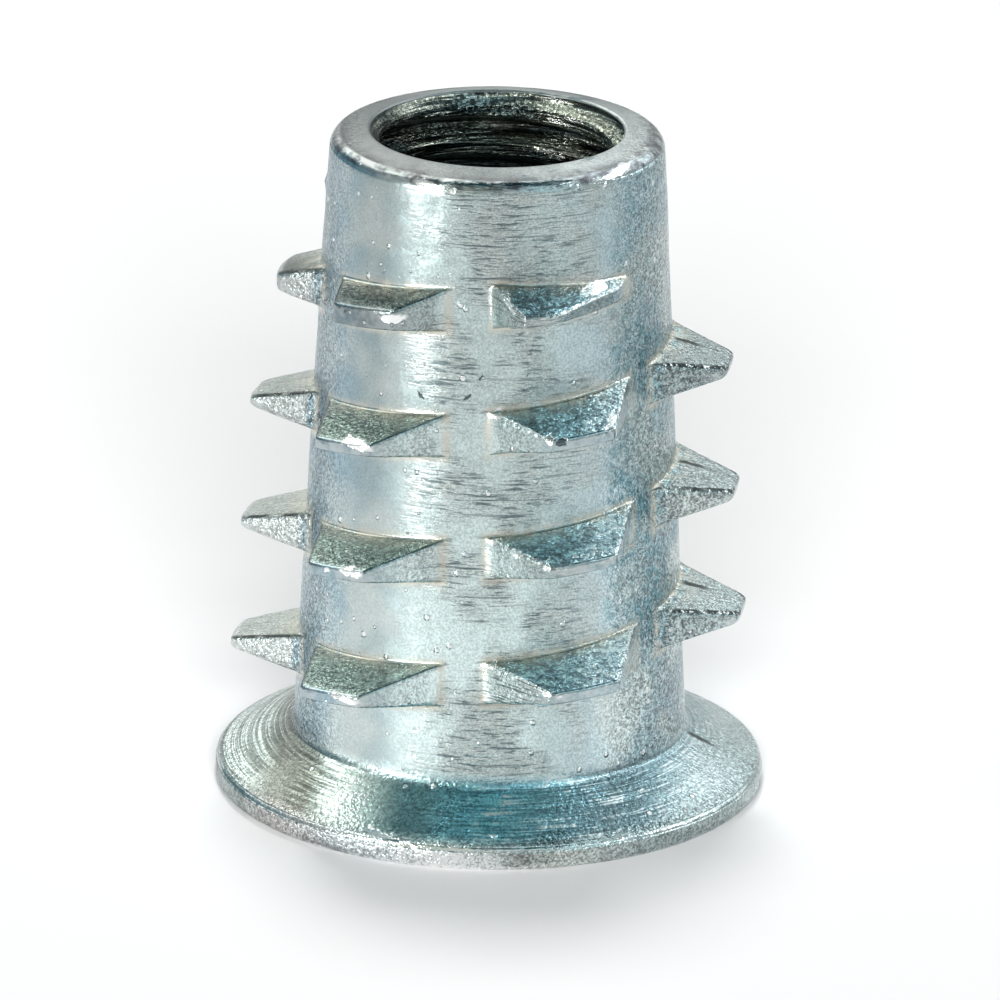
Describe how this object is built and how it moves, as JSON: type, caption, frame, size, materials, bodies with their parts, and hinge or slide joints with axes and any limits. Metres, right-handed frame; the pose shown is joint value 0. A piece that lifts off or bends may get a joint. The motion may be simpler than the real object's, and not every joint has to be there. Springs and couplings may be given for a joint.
{
  "type": "threaded insert",
  "caption": "Flanged screw-in insert for wood: tapered cast barrel with an interrupted coarse outer thread, a metric thread inside and a hex socket in the flange.",
  "frame": {"origin": "centre of the flange's outer face, on the insert's axis", "axes": "+Z along the axis from the flange to the lead end that enters the wood; -Y is the side on which the casting mould's front half opens"},
  "size_m": [0.0202, 0.0202, 0.025],
  "materials": {
    "plated_zinc": "bright zinc plating over die-cast zinc, slightly grainy"
  },
  "bodies": {
    "root": {"insert_body": "plated_zinc"}
  },
  "joints": []
}
